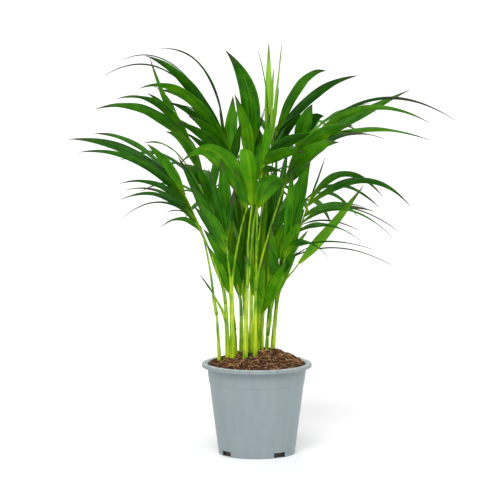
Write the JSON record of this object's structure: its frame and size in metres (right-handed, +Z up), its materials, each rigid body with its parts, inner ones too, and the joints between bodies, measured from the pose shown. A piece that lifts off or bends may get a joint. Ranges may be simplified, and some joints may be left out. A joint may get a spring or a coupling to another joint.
{
  "type": "potted palm",
  "caption": "Young feather palm in a round nursery pot: a clump of thin upright stems carrying arching fronds of long narrow leaflets, rooted in coir and peat.",
  "frame": {"origin": "centre of the flat rest pad under the pot, on the surface that the pot stands on", "axes": "+Z up along the pot's axis, -Y to the front of the plant, +X to its right seen from the front"},
  "size_m": [0.416, 0.2968, 0.449],
  "materials": {
    "pot": "satin",
    "soil": "matte",
    "stem": "satin",
    "leaf": "satin",
    "young_leaf": "satin"
  },
  "bodies": {
    "root": {"pot": "pot", "soil": "soil", "stem_1": "stem", "stem_2": "stem", "stem_3": "stem", "stem_4": "stem", "stem_5": "stem", "stem_6": "stem", "stem_7": "stem", "stem_8": "stem", "stem_9": "stem", "stem_10": "stem", "stem_11": "stem", "stem_12": "stem", "stem_13": "stem", "stem_14": "stem", "stem_15": "stem", "stem_16": "stem", "stem_17": "stem", "frond_left_low": "leaf", "frond_left_mid": "leaf", "leaf_low_left": "leaf", "frond_left_front": "leaf", "frond_front_left": "leaf", "frond_left_inner": "leaf", "frond_left_high": "leaf", "frond_left_top": "leaf", "frond_front": "leaf", "frond_centre_right": "leaf", "frond_centre_top": "leaf", "frond_front_right": "leaf", "frond_spear": "young_leaf", "frond_right_inner": "leaf", "frond_centre_low": "leaf", "frond_right_top": "leaf", "frond_inner_right": "leaf", "frond_right_upper": "leaf", "frond_right_single": "leaf", "frond_right_mid": "leaf", "frond_right_low": "leaf", "frond_inner_left": "leaf", "frond_back_left": "leaf", "frond_back_left_low": "leaf", "frond_back": "leaf", "frond_back_high": "leaf", "frond_back_right": "leaf", "frond_back_right_low": "leaf", "frond_low_left": "leaf", "frond_low_centre": "leaf", "frond_low_inner": "leaf", "frond_low_right": "leaf"}
  },
  "joints": []
}
